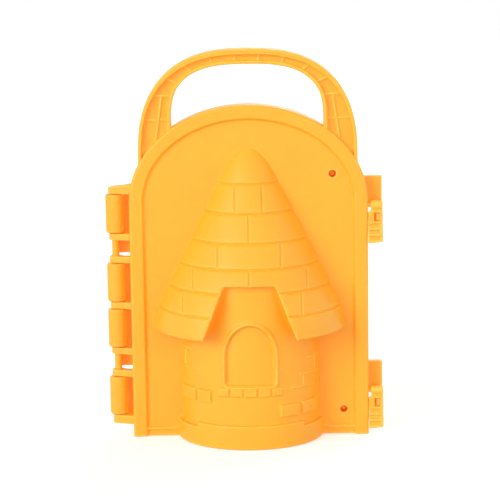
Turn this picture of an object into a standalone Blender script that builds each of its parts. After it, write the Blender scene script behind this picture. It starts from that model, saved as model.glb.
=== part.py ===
"""A hinged snow mould in the shape of a small round tower, moulded in one plastic.

Two half shells turn on a long hinge pin at the left and are held shut at the
right by two latches, which swing on cross pins carried by the front half.
Units are metres, +Z is up and the front of the mould faces -Y. The halves meet
at y = 0, the mould stands on z = 0, and x = 0 is the middle of its whole width.
"""

import math

import bmesh
import bpy
from mathutils import Matrix, Vector

# Panel of each half: a plate with an arched top inside a raised rim band
PANEL_WIDTH = 0.0946
PANEL_HEIGHT = 0.1330
ARCH_RISE = 0.0383
HALF_DEPTH = 0.0060
BAND_WIDTH = 0.0055
BAND_STEP = 0.0015
PLATE_WALL = 0.0020
RIM_WALL = 0.0020
RIM_ROUND = 0.0006
BASE_RIB_HEIGHT = 0.0026
BASE_RIB_WIDTH = 0.0011

# Tower: a plinth, a round body and a tiled cone roof with a porch cut in its front
TOWER_WALL = 0.0020
PLINTH_RADIUS = 0.0297
PLINTH_HEIGHT = 0.0095
PLINTH_DROP = 0.0020
PLINTH_FRONT = 0.0418
BODY_RADIUS = 0.0279
EAVE_HEIGHT = 0.0444
EAVE_RADIUS = 0.0388
EAVE_ROUND = 0.0010
SKIRT_LEAN = 0.0022
ROOF_SLOPE = 0.485
ROOF_TIP_RADIUS = 0.0052
COURSE_HEIGHTS = (0.0091, 0.0087, 0.0089, 0.0095, 0.0110, 0.0110)
COURSE_JOINTS = (
    (),
    (-0.0260, 0.0202),
    (-0.0220, 0.0, 0.0225),
    (-0.0122, 0.0124),
    (0.0,),
    (-0.00535, 0.00535),
)
GROOVE_WIDTH = 0.0009
GROOVE_DEPTH = 0.0005
PORCH_TOP = 0.0652
PORCH_TOP_WIDTH = 0.0205
PORCH_EAVE_WIDTH = 0.0371

# Window niche, its sill of small blocks, and the raised bricks of the body
NICHE_WIDTH = 0.0215
NICHE_SILL = 0.0243
NICHE_TOP = 0.0502
NICHE_SPRING = 0.0360
NICHE_DEPTH = 0.0010
SILL_HEIGHT = 0.0032
SILL_WIDTH = 0.0257
SILL_BLOCKS = 5
SILL_GAP = 0.0006
RELIEF = 0.0007
BRICK_HEIGHT = 0.0051
# Each brick: its two ends as angles from the front, and the height of its foot
BRICKS = (
    (-70.0, -49.0, 0.0178),
    (-47.0, -33.0, 0.0178),
    (23.6, 42.0, 0.0122),
    (45.0, 64.0, 0.0122),
)

# Carrying handle: a channel-section arch on top of each half
HANDLE_WIDTH = 0.0866
HANDLE_TOP = 0.1550
HANDLE_RISE = 0.0430
HANDLE_POWER = 2.55
GRIP_WIDTH = 0.0604
CROWN_HEIGHT = 0.0059
GRIP_RISE = 0.0231
GRIP_POWER = 2.8
HANDLE_DEPTH = 0.0057
HANDLE_WEB = 0.0034
RIM_CROWN = 0.0022
RIM_LEG = 0.0014
RIM_INNER = 0.0013
RIB_WIDTH = 0.0009
RIB_DEPTH = 0.0042
# Each rib of the crown: how far its inner and its outer end are from the tower's axis
CROWN_RIBS = ((0.0046, 0.0049), (0.0136, 0.0148), (0.0214, 0.0251), (0.0267, 0.0326))
LEG_RIB_DROPS = (0.0275, 0.0180)
LEG_SPINE_TOP = 0.0336
LEG_SPINE_FOOT = 0.0364
LEG_SPINE_DROP = 0.0370

# Hinge: front lugs and rear barrels in turn along one pin, even about the middle lug
HINGE_OFFSET = 0.00595
HINGE_FOOT = 0.0047
HINGE_RISE = 0.0079
PIN_RADIUS = 0.00145
BARREL_RADIUS = 0.00365
LUG_RADIUS = 0.0025
LUG_THICKNESS = 0.0026
LUG_DEPTH = 0.0050
LUG_GAP = 0.0065
END_LUG_THICKNESS = 0.0044
END_LUG_FALL = 0.0021
FOOT_LUG_THICKNESS = 0.0035
LEAF_THICKNESS = 0.0022
LEAF_DROP = 0.0090
LEAF_TAIL = 0.0016

# Latches at the right edge: rear tab and stud, front lever on a cross pin
CLASP_REACH = 0.0058
UPPER_CLASP_DROP = 0.00195
LOWER_CLASP = 0.01755
TAB_TOP = 0.0111
TAB_FOOT = 0.0015
TAB_THICKNESS = 0.0028
TONGUE_LENGTH = 0.0068
LEVER_PIVOT_DEPTH = 0.0040
LEVER_BARREL_RADIUS = 0.00175
LEVER_PIN_RADIUS = 0.0008
LEVER_PIN_SEAT = 0.0036
LEVER_LENGTH = 0.0150
LEVER_THICKNESS = 0.0020
LEVER_FLARE = 0.0018
LEVER_BEND = 0.0067
LEVER_SLOT = 0.0011
NOTCH_WIDTH = 0.0009
NOTCH_DROP = 0.0027
LEVER_STRIP = 0.0010
WINDOW_TOP = 0.0029
WINDOW_HEIGHT = 0.0036
WINDOW_WIDTH = 0.0025
STUD_WIDTH = 0.0012
STUD_PROUD = 0.0010
GRIP_GROOVES = 3
GRIP_GROOVE_TOP = 0.0072
GRIP_GROOVE_WIDTH = 0.0016
GRIP_GROOVE_PITCH = 0.0025
GRIP_GROOVE_DEPTH = 0.0009

# Locating pegs of the rear plate in sockets of the front plate: x from the tower's axis, height
PEGS = ((0.0333, 0.1054), (0.0374, 0.0100))
PEG_RADIUS = 0.0012
PEG_REACH = 0.0013
SOCKET_WALL = 0.0012

# Fits, and how far a cutter or a trimmed end runs past its face
CLEARANCE = 0.0003
OVERRUN = 0.0010

# Fineness of round stretches
ARCH_STEPS = 32
BOW_STEPS = 32
TURN_STEPS = 48
ROD_STEPS = 20
TIP_STEPS = 5

# Places worked out from the sizes above
LEFT_REACH = HINGE_OFFSET + BARREL_RADIUS
TOWER_X = (LEFT_REACH - CLASP_REACH) / 2
LEFT_EDGE = TOWER_X - PANEL_WIDTH / 2
RIGHT_EDGE = TOWER_X + PANEL_WIDTH / 2
HINGE_X = LEFT_EDGE - HINGE_OFFSET
CLASP_END = RIGHT_EDGE + CLASP_REACH
PANEL_SPRING = PANEL_HEIGHT - ARCH_RISE
HANDLE_SPRING = HANDLE_TOP - HANDLE_RISE
GRIP_TOP = HANDLE_TOP - CROWN_HEIGHT
GRIP_SPRING = GRIP_TOP - GRIP_RISE
LEG_RIBS = [HANDLE_TOP - drop for drop in LEG_RIB_DROPS]
LEG_SPINE_END = HANDLE_TOP - LEG_SPINE_DROP
HINGE_HEIGHT = PANEL_SPRING + HINGE_RISE - HINGE_FOOT
LUG_STACK = FOOT_LUG_THICKNESS + 5 * LUG_THICKNESS + END_LUG_THICKNESS
BARREL_LENGTH = (HINGE_HEIGHT - LUG_STACK - 2 * LUG_GAP) / 4
HINGE_MIDDLE = HINGE_FOOT + FOOT_LUG_THICKNESS + 2 * BARREL_LENGTH + 2.5 * LUG_THICKNESS + LUG_GAP
CLASP_HEIGHTS = (PANEL_SPRING - UPPER_CLASP_DROP, LOWER_CLASP)
PARTING = CLEARANCE / 2
PLATE_FRONT = HALF_DEPTH - BAND_STEP
PLATE_BACK = PLATE_FRONT - PLATE_WALL
FRONT = -1
REAR = 1

YELLOW = (1.0, 0.456, 0.032, 1.0)

for leftover in list(bpy.data.objects):
    bpy.data.objects.remove(leftover)

mould = bpy.data.collections.new("snow_mould")
tools = bpy.data.collections.new("cutters")
tools.hide_render = True
bpy.context.scene.collection.children.link(mould)
bpy.context.scene.collection.children.link(tools)


def plastic(name, roughness):
    """Yellow moulded plastic."""
    material = bpy.data.materials.new(name)
    material.use_nodes = True
    shader = material.node_tree.nodes["Principled BSDF"]
    shader.inputs["Base Color"].default_value = YELLOW
    shader.inputs["Roughness"].default_value = roughness
    shader.inputs["Metallic"].default_value = 0.0
    return material


def tool_object(name, mesh):
    """An object that only cuts or is joined to a part."""
    obj = bpy.data.objects.new(name, mesh)
    obj.display_type = "WIRE"
    obj.hide_render = True
    tools.objects.link(obj)
    return obj


def as_part(obj, name, roughness):
    """Turns a shape into a named, visible part of the mould."""
    tools.objects.unlink(obj)
    mould.objects.link(obj)
    obj.name = name
    obj.display_type = "TEXTURED"
    obj.hide_render = False
    obj.data.materials.clear()
    obj.data.materials.append(plastic(name + "_plastic", roughness))
    obj.data.shade_smooth()
    obj.data.set_sharp_from_angle(angle=math.radians(30))
    return obj


def hang_on(obj, axis):
    """Parents a part to the empty on its joint's axis and keeps it in place."""
    obj.parent = axis
    obj.matrix_parent_inverse = axis.matrix_world.inverted()


def axis_empty(name, x, y, z):
    empty = bpy.data.objects.new(name, None)
    empty.empty_display_size = 0.01
    empty.location = (x, y, z)
    mould.objects.link(empty)
    bpy.context.view_layer.update()
    return empty


def boolean(target, operation, *others):
    """Adds a Boolean for each other shape; one made of crossing blocks is marked as such."""
    for other in others:
        modifier = target.modifiers.new(other.name, "BOOLEAN")
        modifier.operation = operation
        modifier.object = other
        modifier.use_self = "crossing" in other


def cut(target, *cutters):
    boolean(target, "DIFFERENCE", *cutters)


def join(target, *additions):
    boolean(target, "UNION", *additions)


def from_bmesh(name, shape):
    mesh = bpy.data.meshes.new(name)
    shape.to_mesh(mesh)
    shape.free()
    return tool_object(name, mesh)


def outline_solid(name, outline, thickness, turn, chamfer):
    """Mesh of a flat outline with some thickness, set in the world by the matrix turn."""
    curve = bpy.data.curves.new(name, "CURVE")
    curve.dimensions = "2D"
    curve.fill_mode = "BOTH"
    curve.extrude = thickness / 2 - chamfer
    curve.bevel_depth = chamfer
    curve.bevel_resolution = 0
    curve.offset = -chamfer
    spline = curve.splines.new("POLY")
    spline.points.add(len(outline) - 1)
    for point, (u, v) in zip(spline.points, outline):
        point.co = (u, v, 0.0, 1.0)
    spline.use_cyclic_u = True
    flat = bpy.data.objects.new(name + "_outline", curve)
    tools.objects.link(flat)
    flat.matrix_world = turn
    bpy.context.view_layer.update()
    graph = bpy.context.evaluated_depsgraph_get()
    mesh = bpy.data.meshes.new_from_object(flat.evaluated_get(graph))
    welded = bmesh.new()
    welded.from_mesh(mesh)
    bmesh.ops.remove_doubles(welded, verts=welded.verts, dist=1e-6)
    bmesh.ops.recalc_face_normals(welded, faces=welded.faces)
    welded.to_mesh(mesh)
    welded.free()
    solid = tool_object(name, mesh)
    solid.matrix_world = turn
    bpy.data.objects.remove(flat)
    return solid


def slab(name, outline, side, near, far, chamfer=0.0):
    """Solid over an (x, z) outline, between two depths from the parting plane on one side."""
    middle = side * (near + far) / 2
    turn = Matrix.Translation((0, middle, 0)) @ Matrix.Rotation(math.pi / 2, 4, "X")
    return outline_solid(name, outline, far - near, turn, chamfer)


def standing(name, outline, low, high):
    """Solid over an (x, y) outline, between two heights."""
    turn = Matrix.Translation((0, 0, (low + high) / 2))
    return outline_solid(name, outline, high - low, turn, 0.0)


def across(name, outline, left, right):
    """Solid over a (y, z) outline, between two x values."""
    turn = Matrix.Translation(((left + right) / 2, 0, 0))
    turn = turn @ Matrix.Rotation(math.pi / 2, 4, "Z") @ Matrix.Rotation(math.pi / 2, 4, "X")
    return outline_solid(name, outline, right - left, turn, 0.0)


def add_block(shape, low, high, turn=Matrix.Identity(4)):
    """Adds a box to a bmesh, between two corners, and turns it by a matrix."""
    size = [b - a for a, b in zip(low, high)]
    middle = [(a + b) / 2 for a, b in zip(low, high)]
    place = turn @ Matrix.Translation(middle) @ Matrix.Diagonal((*size, 1.0))
    bmesh.ops.create_cube(shape, size=1.0, matrix=place)


def block(name, low, high):
    shape = bmesh.new()
    add_block(shape, low, high)
    return from_bmesh(name, shape)


def add_rod(shape, radius, start, end):
    """Adds a round rod to a bmesh, between two points on a line along one axis."""
    span = [b - a for a, b in zip(start, end)]
    length = sum(span)
    middle = [(a + b) / 2 for a, b in zip(start, end)]
    if span[0]:
        turn = Matrix.Rotation(math.pi / 2, 4, "Y")
    elif span[1]:
        turn = Matrix.Rotation(math.pi / 2, 4, "X")
    else:
        turn = Matrix.Identity(4)
    bmesh.ops.create_cone(
        shape,
        cap_ends=True,
        segments=ROD_STEPS,
        radius1=radius,
        radius2=radius,
        depth=abs(length),
        matrix=Matrix.Translation(middle) @ turn,
    )


def rod(name, radius, start, end):
    shape = bmesh.new()
    add_rod(shape, radius, start, end)
    return from_bmesh(name, shape)


def turned(name, profile, phase):
    """Solid of revolution about the tower's axis; the (radius, z) profile runs down its outside.

    The phase, a share of one step, keeps the facets of neighbours from lining up.
    """
    mesh = bpy.data.meshes.new(name)
    edges = [(i, i + 1) for i in range(len(profile) - 1)]
    mesh.from_pydata([(radius, 0.0, z) for radius, z in profile], edges, [])
    obj = tool_object(name, mesh)
    obj.location.x = TOWER_X
    obj.rotation_euler.z = 2 * math.pi * phase / TURN_STEPS
    screw = obj.modifiers.new("turn", "SCREW")
    screw.steps = TURN_STEPS
    screw.render_steps = TURN_STEPS
    screw.use_merge_vertices = True
    screw.merge_threshold = 1e-5
    return obj


# Outlines of the panel and of the handle


def arch_outline(inset, foot):
    """Panel outline moved in by inset, with its straight sides down to the height foot."""
    reach = PANEL_WIDTH / 2 - inset
    rise = ARCH_RISE - inset
    spring = PANEL_HEIGHT - ARCH_RISE
    points = [(TOWER_X + reach, foot)]
    for i in range(ARCH_STEPS + 1):
        angle = math.pi * i / ARCH_STEPS
        points.append((TOWER_X + reach * math.cos(angle), spring + rise * math.sin(angle)))
    points.append((TOWER_X - reach, foot))
    return points


def bow_outline(reach, top, spring, power):
    """A superellipse arch over straight legs, the edge line of a handle."""
    points = [(TOWER_X + reach, PANEL_SPRING)]
    for i in range(BOW_STEPS + 1):
        angle = math.pi * i / BOW_STEPS
        across_bow = math.copysign(abs(math.cos(angle)) ** (2 / power), math.cos(angle))
        up_bow = abs(math.sin(angle)) ** (2 / power)
        points.append((TOWER_X + reach * across_bow, spring + (top - spring) * up_bow))
    points.append((TOWER_X - reach, PANEL_SPRING))
    return points


def bow_height(x, reach, top, spring, power):
    """Height of a bow's edge line at a distance x from the tower's axis."""
    share = 1 - abs(x / reach) ** power
    return spring + (top - spring) * share ** (1 / power)


def bow_reach(z, reach, top, spring, power):
    """Distance of a bow's edge line from the tower's axis at the height z."""
    share = 1 - max(0.0, (z - spring) / (top - spring)) ** power
    return reach * share ** (1 / power)


# Tower and cavity, shared by both halves


def skirt_radius():
    return EAVE_RADIUS - SKIRT_LEAN


def cone_apex():
    """Height of the sharp point that the roof's straight sides run up to."""
    return EAVE_HEIGHT + COURSE_HEIGHTS[0] + skirt_radius() / ROOF_SLOPE


def course_lines():
    """Heights of the grooves between the roof's courses, from the eave up."""
    lines = []
    height = EAVE_HEIGHT
    for course in COURSE_HEIGHTS:
        height += course
        lines.append(height)
    return lines


def roof_profile(inset, floor, grooved):
    """Roof outline moved in by inset, from its tip down to the height floor and in to the axis."""
    lean = math.atan(ROOF_SLOPE)
    apex = cone_apex() - inset / math.sin(lean)
    tip_reach = ROOF_TIP_RADIUS / ROOF_SLOPE
    tip_top = cone_apex() - tip_reach / ROOF_SLOPE / 2
    profile = [(0.0, tip_top - inset)]
    for i in range(1, TIP_STEPS + 1):
        across = tip_reach * i / TIP_STEPS
        slant = math.hypot(across, ROOF_TIP_RADIUS)
        height = tip_top - across**2 / ROOF_TIP_RADIUS / 2 - inset * ROOF_TIP_RADIUS / slant
        profile.append((across - inset * across / slant, height))
    if grooved:
        for line in reversed(course_lines()):
            above = line + GROOVE_WIDTH / 2
            below = line - GROOVE_WIDTH / 2
            profile.append((ROOF_SLOPE * (apex - above), above))
            profile.append((ROOF_SLOPE * (apex - line) - GROOVE_DEPTH, line))
            profile.append((ROOF_SLOPE * (apex - line), below))
        profile.append((EAVE_RADIUS, floor + EAVE_ROUND))
        profile.append((EAVE_RADIUS - EAVE_ROUND, floor))
    else:
        skirt_top = EAVE_HEIGHT + COURSE_HEIGHTS[0]
        profile.append((ROOF_SLOPE * (apex - skirt_top), skirt_top))
        profile.append((EAVE_RADIUS - inset, floor))
    profile.append((0.0, floor))
    return profile


def porch_outline(margin):
    """Outline of the cut in the roof's front, grown by margin and run on below the eave."""
    top = PORCH_TOP + margin
    foot = EAVE_HEIGHT - OVERRUN
    spread = (PORCH_EAVE_WIDTH - PORCH_TOP_WIDTH) / 2 / (PORCH_TOP - EAVE_HEIGHT)
    top_reach = PORCH_TOP_WIDTH / 2 + margin - spread * margin
    foot_reach = top_reach + spread * (top - foot)
    return [
        (TOWER_X - foot_reach, foot),
        (TOWER_X + foot_reach, foot),
        (TOWER_X + top_reach, top),
        (TOWER_X - top_reach, top),
    ]


def porch_cutter(name, margin):
    reach = EAVE_RADIUS + OVERRUN
    return slab(name, porch_outline(margin), REAR, -reach, reach)


def around(angle_deg, side):
    """Turn about the tower's axis that brings a shape at x = TOWER_X, y > 0 to its place."""
    angle = math.radians(angle_deg) if side == FRONT else math.radians(180 - angle_deg)
    place = Matrix.Translation((TOWER_X, 0, 0))
    return place @ Matrix.Rotation(math.pi + angle, 4, "Z") @ place.inverted()


def course_joint_cutter():
    """Joints between the tiles of each course, upright in the front view, as one set of thin boxes."""
    shape = bmesh.new()
    lines = [EAVE_HEIGHT] + course_lines()
    for course, places in enumerate(COURSE_JOINTS):
        middle = (lines[course] + lines[course + 1]) / 2
        radius = ROOF_SLOPE * (cone_apex() - middle)
        for side in (FRONT, REAR):
            for x in places:
                y = side * math.sqrt(radius**2 - x**2)
                run = Vector((0.0, -ROOF_SLOPE * radius / y, 1.0))
                half_run = run.length * COURSE_HEIGHTS[course] / 2
                run.normalize()
                out = Vector((x, y, ROOF_SLOPE * radius)).normalized()
                axes = Matrix((out.cross(run), out, run)).transposed().to_4x4()
                low = (-GROOVE_WIDTH / 2, -GROOVE_DEPTH, -half_run)
                high = (GROOVE_WIDTH / 2, GROOVE_DEPTH, half_run)
                add_block(shape, low, high, Matrix.Translation((TOWER_X + x, y, middle)) @ axes)
    return from_bmesh("course_joints", shape)


def niche_cutter():
    """Arched window recess of even depth in the front and the rear of the body."""
    reach = NICHE_WIDTH / 2
    outline = [(TOWER_X - reach, NICHE_SILL), (TOWER_X + reach, NICHE_SILL)]
    for i in range(ARCH_STEPS // 2 + 1):
        angle = math.pi * i / (ARCH_STEPS // 2)
        rise = (NICHE_TOP - NICHE_SPRING) * math.sin(angle)
        outline.append((TOWER_X + reach * math.cos(angle), NICHE_SPRING + rise))
    depth = BODY_RADIUS + OVERRUN
    niche = slab("niche", outline, REAR, -depth, depth)
    core_radius = BODY_RADIUS - NICHE_DEPTH
    core_profile = [(0.0, PORCH_TOP), (core_radius, PORCH_TOP), (core_radius, 0.0), (0.0, 0.0)]
    core = turned("niche_core", core_profile, 0.42)
    cut(niche, core)
    return niche


def brick_relief():
    """Sill blocks and raised bricks, as boxes that are sunk into the body's wall."""
    shape = bmesh.new()
    sunk = BODY_RADIUS - TOWER_WALL / 2
    proud = BODY_RADIUS + RELIEF
    pitch = SILL_WIDTH / SILL_BLOCKS
    bricks = []
    for start, end, bottom in BRICKS:
        width = math.radians(end - start) * BODY_RADIUS
        bricks.append(((start + end) / 2, bottom, bottom + BRICK_HEIGHT, width))
    for i in range(SILL_BLOCKS):
        offset = (i - (SILL_BLOCKS - 1) / 2) * pitch
        angle = math.degrees(offset / BODY_RADIUS)
        bricks.append((angle, NICHE_SILL - SILL_HEIGHT, NICHE_SILL, pitch - SILL_GAP))
    for angle, bottom, top, width in bricks:
        for side in (FRONT, REAR):
            low = (TOWER_X - width / 2, sunk, bottom)
            high = (TOWER_X + width / 2, proud, top)
            add_block(shape, low, high, around(angle, side))
    return from_bmesh("brick_relief", shape)


def tower_solid():
    """The whole tower as a solid: roof with its porch, body and plinth."""
    tower = turned("tower", roof_profile(0.0, EAVE_HEIGHT, True), 0.13)
    cut(tower, course_joint_cutter(), porch_cutter("porch", 0.0))
    body_top = PORCH_TOP + TOWER_WALL
    body = turned(
        "body",
        [(0.0, body_top), (BODY_RADIUS, body_top), (BODY_RADIUS, -OVERRUN), (0.0, -OVERRUN)],
        0.58,
    )
    cut(body, niche_cutter())
    plinth = turned(
        "plinth",
        [
            (0.0, PLINTH_HEIGHT),
            (PLINTH_RADIUS - RIM_ROUND, PLINTH_HEIGHT),
            (PLINTH_RADIUS, PLINTH_HEIGHT - RIM_ROUND),
            (PLINTH_RADIUS, -1.5 * OVERRUN),
            (0.0, -1.5 * OVERRUN),
        ],
        0.84,
    )
    ledge = PLINTH_HEIGHT - PLINTH_DROP
    beyond = PLINTH_RADIUS + OVERRUN
    for name, start in (("left_ledge", -beyond), ("right_ledge", PLINTH_FRONT / 2)):
        low = (TOWER_X + start, -beyond, ledge)
        high = (TOWER_X + start + beyond - PLINTH_FRONT / 2, beyond, PLINTH_HEIGHT + OVERRUN)
        cut(plinth, block(name, low, high))
    join(tower, body, plinth, brick_relief())
    return tower


def cavity_solid():
    """The hollow that shapes the snow, open at the bottom."""
    cavity = turned("cavity", roof_profile(TOWER_WALL, EAVE_HEIGHT + TOWER_WALL, False), 0.27)
    cut(cavity, porch_cutter("porch_wall", TOWER_WALL))
    bore = BODY_RADIUS - TOWER_WALL
    bore_top = PORCH_TOP + 1.5 * TOWER_WALL
    body = turned(
        "cavity_body",
        [(0.0, bore_top), (bore, bore_top), (bore, -2 * OVERRUN), (0.0, -2 * OVERRUN)],
        0.71,
    )
    join(cavity, body)
    return cavity


# Handle and panel of one half


def handle_solid(side):
    """Channel-section carrying arch, cut away where the panel's plate is."""
    outer = (HANDLE_WIDTH / 2, HANDLE_TOP, HANDLE_SPRING, HANDLE_POWER)
    inner = (GRIP_WIDTH / 2, GRIP_TOP, GRIP_SPRING, GRIP_POWER)
    channel_outer = (outer[0] - RIM_LEG, outer[1] - RIM_CROWN, HANDLE_SPRING, HANDLE_POWER)
    channel_inner = (inner[0] + RIM_INNER, inner[1] + RIM_INNER, GRIP_SPRING, GRIP_POWER)
    past = HALF_DEPTH + OVERRUN

    handle = slab("handle", bow_outline(*outer), side, -1.5 * OVERRUN, HANDLE_DEPTH, RIM_ROUND)
    opening = slab("grip_opening", bow_outline(*inner), side, -2 * OVERRUN, past)
    channel = slab("handle_channel", bow_outline(*channel_outer), side, HANDLE_WEB, past)
    inner_rim = slab("inner_rim", bow_outline(*channel_inner), side, 0.0, past + OVERRUN)
    plate = slab("plate_room", arch_outline(RIM_WALL / 2, 0.0), side, -2 * OVERRUN, past)
    cut(channel, inner_rim)

    ribs = bmesh.new()
    lines = []
    for way in (-1, 1):
        for near, far in CROWN_RIBS:
            low = bow_height(near, *inner) + RIM_INNER / 2
            high = bow_height(far, *outer) - RIM_CROWN / 2
            lines.append(((way * near, low), (way * far, high)))
        for z in LEG_RIBS:
            near = bow_reach(z, *inner) + RIM_INNER / 2
            far = bow_reach(z, *outer) - RIM_LEG / 2
            lines.append(((way * near, z), (way * far, z)))
        spine_top = LEG_RIBS[-1] + RIB_WIDTH / 4
        lines.append(((way * LEG_SPINE_TOP, spine_top), (way * LEG_SPINE_FOOT, LEG_SPINE_END)))
    for start, end in lines:
        run = math.dist(start, end)
        tilt = math.atan2(end[0] - start[0], end[1] - start[1])
        place = Matrix.Translation((TOWER_X + start[0], 0, start[1])) @ Matrix.Rotation(tilt, 4, "Y")
        depths = sorted((side * HANDLE_WEB / 2, side * RIB_DEPTH))
        add_block(ribs, (-RIB_WIDTH / 2, depths[0], 0.0), (RIB_WIDTH / 2, depths[1], run), place)
    cut(handle, opening, channel)
    rib_set = from_bmesh("handle_ribs", ribs)
    rib_set["crossing"] = True
    join(handle, rib_set)
    cut(handle, plate)
    return handle


def panel_solid(side):
    """Arched plate in a raised rim band, hollow behind, with a thin rib above its foot."""
    past = HALF_DEPTH + OVERRUN
    panel = slab("panel", arch_outline(0.0, -OVERRUN), side, -OVERRUN, HALF_DEPTH, RIM_ROUND)
    recess = slab("plate_recess", arch_outline(BAND_WIDTH, -2 * OVERRUN), side, PLATE_FRONT, past)
    pocket = slab("back_pocket", arch_outline(RIM_WALL, RIM_WALL), side, -2 * OVERRUN, PLATE_BACK)
    cut(panel, recess, pocket)
    depths = sorted((side * (PLATE_FRONT - PLATE_WALL / 2), side * (HALF_DEPTH - RIM_ROUND)))
    rib_reach = PANEL_WIDTH / 2 - BAND_WIDTH / 2
    foot_rib = block(
        "foot_rib",
        (TOWER_X - rib_reach, depths[0], BASE_RIB_HEIGHT),
        (TOWER_X + rib_reach, depths[1], BASE_RIB_HEIGHT + BASE_RIB_WIDTH),
    )
    join(panel, foot_rib)
    return panel


def half_shell(name, side, tower, cavity):
    """One half of the mould, trimmed at the parting plane and at the floor."""
    shell = panel_solid(side)
    join(shell, handle_solid(side), tower)
    reach = PANEL_WIDTH + PANEL_HEIGHT
    other_side = sorted((side * PARTING, -side * reach))
    parting = block(name + "_parting", (-reach, other_side[0], -reach), (reach, other_side[1], reach))
    floor = block(name + "_floor", (-reach, -reach, -reach), (reach, reach, 0.0))
    cut(shell, cavity, parting, floor)
    return shell


# Hinge


def hinge_layout():
    """Heights (low, high) of the lugs and of the barrels, worked out from the middle lug."""
    half = LUG_THICKNESS / 2
    lugs = [(HINGE_MIDDLE - half, HINGE_MIDDLE + half)]
    barrels = []
    for way in (-1, 1):
        at = half
        barrels.append((at, at + BARREL_LENGTH, way))
        at += BARREL_LENGTH
        inner_lug = (at, at + LUG_THICKNESS)
        at += LUG_THICKNESS + LUG_GAP
        outer_lug = (at, at + LUG_THICKNESS)
        at += LUG_THICKNESS
        barrels.append((at, at + BARREL_LENGTH, way))
        at += BARREL_LENGTH
        end_lug = (at, at + (END_LUG_THICKNESS if way > 0 else FOOT_LUG_THICKNESS))
        for low, high in (inner_lug, outer_lug, end_lug):
            lugs.append(tuple(sorted((HINGE_MIDDLE + way * low, HINGE_MIDDLE + way * high))))
    spans = [tuple(sorted((HINGE_MIDDLE + way * a, HINGE_MIDDLE + way * b))) for a, b, way in barrels]
    return sorted(lugs), sorted(spans)


def lug_outline():
    """Plan of a front lug: a round eye on the pin and a tongue into the panel's edge."""
    root = LEFT_EDGE + RIM_WALL
    points = [(root, -LUG_DEPTH), (root, -2 * PARTING), (HINGE_X + 1.5 * LUG_RADIUS, -2 * PARTING)]
    first, last = math.radians(50), math.radians(262)
    for i in range(ROD_STEPS + 1):
        angle = first + (last - first) * i / ROD_STEPS
        points.append((HINGE_X + LUG_RADIUS * math.cos(angle), LUG_RADIUS * math.sin(angle)))
    return points


def add_front_knuckles(shell, lugs):
    """Lugs of the front half, the top one with a sloping upper face, and the bore of the pin."""
    for index, (low, high) in enumerate(lugs):
        lug = standing("lug_%d" % index, lug_outline(), low, high)
        if index == len(lugs) - 1:
            end = HINGE_X - LUG_RADIUS - OVERRUN
            root = LEFT_EDGE + RIM_WALL + OVERRUN
            slope = [
                (end, high - END_LUG_FALL),
                (root, high),
                (root, high + OVERRUN),
                (end, high + OVERRUN),
            ]
            reach = HALF_DEPTH + OVERRUN
            cut(lug, slab("lug_slope", slope, FRONT, -reach, reach))
        join(shell, lug)
    top = lugs[-1][0] + LUG_THICKNESS / 2
    bore = (HINGE_X, 0, lugs[0][0] - OVERRUN), (HINGE_X, 0, top + CLEARANCE)
    cut(shell, rod("lug_bore", PIN_RADIUS + CLEARANCE, *bore))


def add_rear_knuckles(shell, barrels):
    """Barrels of the rear half on flat leaves that run on behind the lugs, two of them further."""
    leaf_near = LUG_RADIUS + CLEARANCE
    for index, (low, high) in enumerate(barrels):
        start = (HINGE_X, 0, low + CLEARANCE)
        end = (HINGE_X, 0, high - CLEARANCE)
        knuckle = rod("barrel_%d" % index, BARREL_RADIUS, start, end)
        drop = LEAF_DROP if index % 2 else LEAF_TAIL
        leaf = block(
            "leaf_%d" % index,
            (HINGE_X + CLEARANCE, leaf_near, low + 2 * CLEARANCE - drop),
            (LEFT_EDGE + RIM_WALL, leaf_near + LEAF_THICKNESS, high - 2 * CLEARANCE),
        )
        join(knuckle, leaf)
        join(shell, knuckle)
    bore = (HINGE_X, 0, barrels[0][0] - OVERRUN), (HINGE_X, 0, barrels[-1][1] + OVERRUN)
    cut(shell, rod("barrel_bore", PIN_RADIUS + CLEARANCE, *bore))


def hinge_pin(lugs):
    """Long pin pushed up from below through every lug and barrel."""
    top = lugs[-1][0] + LUG_THICKNESS / 2
    pin = rod("pin", PIN_RADIUS, (HINGE_X, 0, lugs[0][0] + CLEARANCE), (HINGE_X, 0, top))
    return as_part(pin, "hinge_pin", 0.40)


# Latches


def window_box():
    """The lever's window: left and right x, and bottom and top below the pivot."""
    right = CLASP_END - LEVER_STRIP
    return right - WINDOW_WIDTH, right, -WINDOW_TOP - WINDOW_HEIGHT, -WINDOW_TOP


def add_catch(shell, name, height):
    """Rear tab beside the panel's edge, with a tongue that carries the stud of the latch."""
    left, right, bottom, top = window_box()
    inside = RIGHT_EDGE - 1.5 * RIM_WALL
    tab = block(
        name + "_tab",
        (inside, 2 * PARTING, height - TAB_FOOT),
        (CLASP_END, 2 * PARTING + TAB_THICKNESS, height + TAB_TOP),
    )
    tongue = block(
        name + "_tongue",
        (left - CLEARANCE, 3 * PARTING, height - TAB_FOOT - TONGUE_LENGTH),
        (right + CLEARANCE, PARTING + TAB_THICKNESS, height),
    )
    stud = block(
        name + "_stud",
        (right - CLEARANCE - STUD_WIDTH, -LEVER_PIVOT_DEPTH - STUD_PROUD, height + bottom + 1.5 * CLEARANCE),
        (right - CLEARANCE, PARTING + TAB_THICKNESS / 2, height + top - 1.5 * CLEARANCE),
    )
    join(tab, tongue, stud)
    join(shell, tab)


def pin_line(height, start, end):
    return (start, -LEVER_PIVOT_DEPTH, height), (end, -LEVER_PIVOT_DEPTH, height)


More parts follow.
